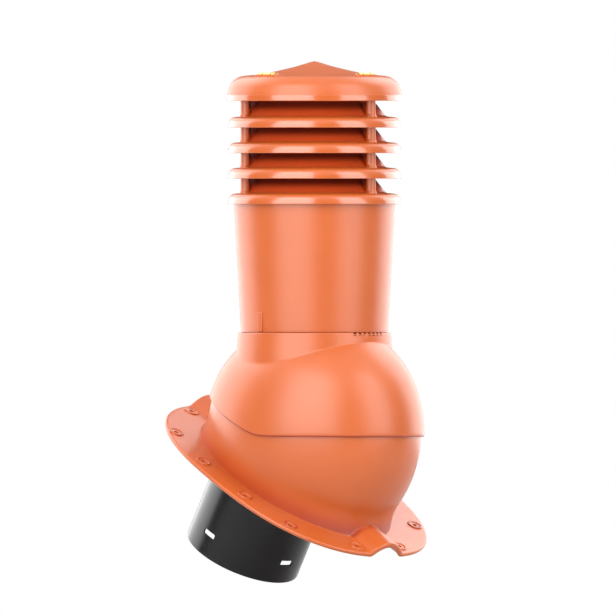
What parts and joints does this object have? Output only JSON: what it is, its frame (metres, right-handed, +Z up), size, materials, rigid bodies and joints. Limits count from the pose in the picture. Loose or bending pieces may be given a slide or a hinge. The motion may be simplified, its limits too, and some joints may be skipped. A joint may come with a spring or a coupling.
{
  "type": "roof vent pipe",
  "caption": "Plastic roof ventilation outlet: oval roof flange, tilting rounded hood, tapered pipe with louvre rings and rain cap, black duct spigot below.",
  "frame": {"origin": "centre of the flange's underside, on the plane of the roof", "axes": "+Z straight up along the pipe, +X level and towards the foot of the roof slope, Y level across the slope and along the hood's tilt axis"},
  "size_m": [0.3555, 0.2998, 0.6634],
  "materials": {
    "terracotta_plastic": "satin moulded",
    "black_plastic": "satin moulded",
    "vial_yellow": "clear acrylic with coloured liquid"
  },
  "bodies": {
    "base": {"roof_base": "terracotta_plastic", "duct_spigot": "black_plastic"},
    "head": {"tilt_hood": "terracotta_plastic", "vent_pipe": "terracotta_plastic", "louvre_ring_1": "terracotta_plastic", "louvre_ring_2": "terracotta_plastic", "louvre_ring_3": "terracotta_plastic", "rain_cap": "terracotta_plastic", "level_vial_slope": "vial_yellow", "level_vial_side": "vial_yellow"}
  },
  "joints": [
    {"name": "tilt", "type": "hinge", "parent": "base", "child": "head", "pos_m": [0.0363, 0, 0.06287], "axis": [0, 1, 0], "range_deg": [-5, 15]}
  ]
}
